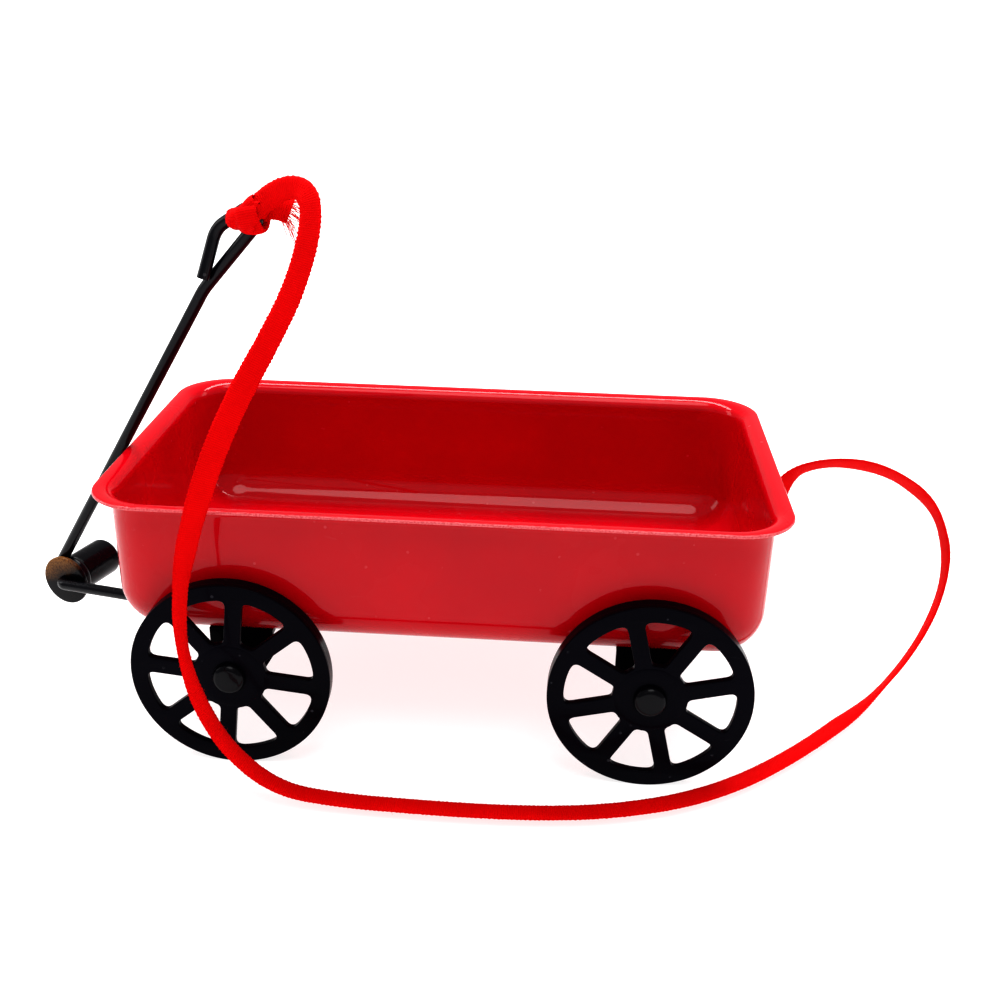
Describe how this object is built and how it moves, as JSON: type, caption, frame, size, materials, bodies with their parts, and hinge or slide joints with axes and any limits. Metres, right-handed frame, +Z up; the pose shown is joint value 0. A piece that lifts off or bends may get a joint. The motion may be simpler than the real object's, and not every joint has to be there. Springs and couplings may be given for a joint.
{
  "type": "miniature pull wagon",
  "caption": "Miniature pressed-metal pull wagon with spoked wheels that spin, a hinged wire handle and a thin hanging ribbon tied from grip to tray.",
  "frame": {"origin": "on the floor, below the middle of the wagon from the tongue's tip to the tray's rear lip", "axes": "+X to the rear of the wagon, +Y to its far side, +Z up; the tongue and handle are at -X"},
  "size_m": [0.1507, 0.0764, 0.083],
  "materials": {
    "red_enamel": "gloss",
    "black_enamel": "gloss",
    "black_gloss": "gloss",
    "black_wire": "semi-gloss",
    "steel": "satin",
    "red_ribbon": "woven"
  },
  "bodies": {
    "wagon": {"tray": "red_enamel", "front_axle_bracket": "black_enamel", "rear_axle_bracket": "black_enamel", "bracket_rivets": "black_enamel", "tongue_rivet": "black_enamel", "tongue_wire": "black_wire", "pivot_flange": "black_gloss", "pivot_barrel": "black_gloss", "front_axle": "steel", "rear_axle": "steel", "front_near_spacer": "black_gloss", "front_far_spacer": "black_gloss", "rear_near_spacer": "black_gloss", "rear_far_spacer": "black_gloss", "front_near_cap": "black_gloss", "front_far_cap": "black_gloss", "rear_near_cap": "black_gloss", "rear_far_cap": "black_gloss", "ribbon": "red_ribbon", "ribbon_rear_knot": "red_ribbon"},
    "handle": {"pull_handle": "black_wire", "ribbon_grip_knot": "red_ribbon", "ribbon_tail": "red_ribbon"},
    "front_near_wheel": {"front_near_wheel": "black_enamel"},
    "front_far_wheel": {"front_far_wheel": "black_enamel"},
    "rear_near_wheel": {"rear_near_wheel": "black_enamel"},
    "rear_far_wheel": {"rear_far_wheel": "black_enamel"}
  },
  "joints": [
    {"name": "front_near_spin", "type": "hinge", "parent": "wagon", "child": "front_near_wheel", "pos_m": [-0.02023, 0, 0.0147], "axis": [0, 1, 0], "continuous": true},
    {"name": "front_far_spin", "type": "hinge", "parent": "wagon", "child": "front_far_wheel", "pos_m": [-0.02023, 0, 0.0147], "axis": [0, 1, 0], "continuous": true},
    {"name": "rear_near_spin", "type": "hinge", "parent": "wagon", "child": "rear_near_wheel", "pos_m": [0.04052, 0, 0.0147], "axis": [0, 1, 0], "continuous": true},
    {"name": "rear_far_spin", "type": "hinge", "parent": "wagon", "child": "rear_far_wheel", "pos_m": [0.04052, 0, 0.0147], "axis": [0, 1, 0], "continuous": true},
    {"name": "handle_swing", "type": "hinge", "parent": "wagon", "child": "handle", "pos_m": [-0.05461, -0.00164, 0.0147], "axis": [0.309, 0.9511, 0], "range_deg": [-127, 0], "deforming": ["ribbon"]}
  ]
}
